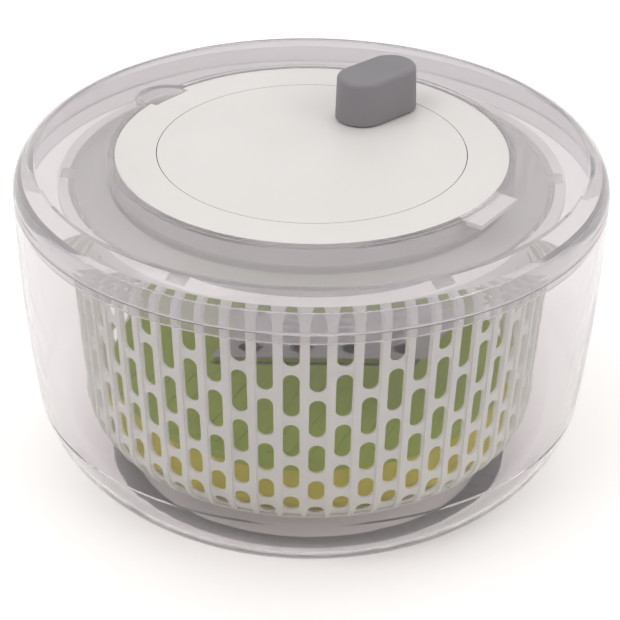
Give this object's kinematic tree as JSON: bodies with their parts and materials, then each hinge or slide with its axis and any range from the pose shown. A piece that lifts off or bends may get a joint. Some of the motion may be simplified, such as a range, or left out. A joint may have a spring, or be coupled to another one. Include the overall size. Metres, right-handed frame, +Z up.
{
  "type": "salad spinner",
  "caption": "Clear round bowl and lid with a crank-driven slotted basket inside, grater inserts nested in the basket, and a grey turning knob on a white disc.",
  "frame": {"origin": "on the table under the middle of the bowl", "axes": "+Z up along the spin axis, -Y towards the front"},
  "size_m": [0.265, 0.265, 0.1763],
  "materials": {
    "clear_plastic": "clear moulded plastic with a faint lilac tint",
    "drive_plastic": "clear moulded plastic",
    "basket_plastic": "translucent white moulded plastic",
    "white_plastic": "satin white moulded plastic",
    "acetal": "natural acetal",
    "grey_plastic": "satin grey moulded plastic",
    "green_plastic": "satin green moulded plastic",
    "yellow_plastic": "satin yellow moulded plastic",
    "foot_rubber": "soft grey non-slip rubber",
    "steel": "brushed stainless steel",
    "screw_steel": "plated steel"
  },
  "bodies": {
    "bowl": {"bowl": "clear_plastic", "non_slip_foot_ring": "foot_rubber"},
    "pivot_cap": {"pivot_cap": "acetal"},
    "basket": {"basket": "basket_plastic"},
    "yellow_insert": {"yellow_frame": "yellow_plastic", "fine_grater_plate": "steel"},
    "green_insert": {"green_frame": "green_plastic", "coarse_grater_plate": "steel"},
    "lid": {"lid_shell": "clear_plastic", "mechanism_housing": "white_plastic", "mechanism_ring": "white_plastic", "housing_screws": "screw_steel", "planet_pins": "screw_steel", "drive_bush": "acetal"},
    "crank": {"crank_disc": "white_plastic", "ring_gear": "acetal", "ring_gear_screws": "screw_steel", "knob_pin": "screw_steel"},
    "knob": {"knob_body": "grey_plastic", "knob_bush": "acetal"},
    "planet_1": {"planet_gear_1": "acetal"},
    "planet_2": {"planet_gear_2": "acetal"},
    "planet_3": {"planet_gear_3": "acetal"},
    "drive": {"sun_gear": "acetal", "drive_cover": "drive_plastic", "drive_washer": "screw_steel", "drive_screw": "screw_steel"}
  },
  "joints": [
    {"name": "lid_lift", "type": "slide", "parent": "bowl", "child": "lid", "axis": [0, 0, 1], "range_m": [0, 0.3]},
    {"name": "basket_lift", "type": "slide", "parent": "bowl", "child": "pivot_cap", "axis": [0, 0, 1], "range_m": [0, 0.14]},
    {"name": "basket_spin", "type": "hinge", "parent": "pivot_cap", "child": "basket", "pos_m": [0, 0, 0.015], "axis": [0, 0, 1], "continuous": true},
    {"name": "lower_insert_lift", "type": "slide", "parent": "basket", "child": "yellow_insert", "axis": [0, 0, 1], "range_m": [0, 0.13]},
    {"name": "upper_insert_lift", "type": "slide", "parent": "basket", "child": "green_insert", "axis": [0, 0, 1], "range_m": [0, 0.19]},
    {"name": "crank_spin", "type": "hinge", "parent": "lid", "child": "crank", "pos_m": [0, 0, 0.153], "axis": [0, 0, 1], "continuous": true},
    {"name": "knob_spin", "type": "hinge", "parent": "crank", "child": "knob", "pos_m": [0.029, 0.04036, 0.165], "axis": [0, 0, 1], "continuous": true},
    {"name": "drive_spin", "type": "hinge", "parent": "lid", "child": "drive", "pos_m": [0, 0, 0.145], "axis": [0, 0, 1], "continuous": true},
    {"name": "planet_1_spin", "type": "hinge", "parent": "lid", "child": "planet_1", "pos_m": [0.03375, 0, 0.1485], "axis": [0, 0, 1], "continuous": true},
    {"name": "planet_2_spin", "type": "hinge", "parent": "lid", "child": "planet_2", "pos_m": [-0.01688, 0.02923, 0.1485], "axis": [0, 0, 1], "continuous": true},
    {"name": "planet_3_spin", "type": "hinge", "parent": "lid", "child": "planet_3", "pos_m": [-0.01688, -0.02923, 0.1485], "axis": [0, 0, 1], "continuous": true}
  ],
  "couplings": [
    {"joint": "basket_lift", "follows": "lid_lift", "ratio": 0.46667},
    {"joint": "lower_insert_lift", "follows": "lid_lift", "ratio": 0.43333},
    {"joint": "upper_insert_lift", "follows": "lid_lift", "ratio": 0.63333},
    {"joint": "drive_spin", "follows": "basket_spin", "ratio": 1},
    {"joint": "crank_spin", "follows": "basket_spin", "ratio": -0.25},
    {"joint": "planet_1_spin", "follows": "basket_spin", "ratio": -0.66667},
    {"joint": "planet_2_spin", "follows": "basket_spin", "ratio": -0.66667},
    {"joint": "planet_3_spin", "follows": "basket_spin", "ratio": -0.66667}
  ]
}
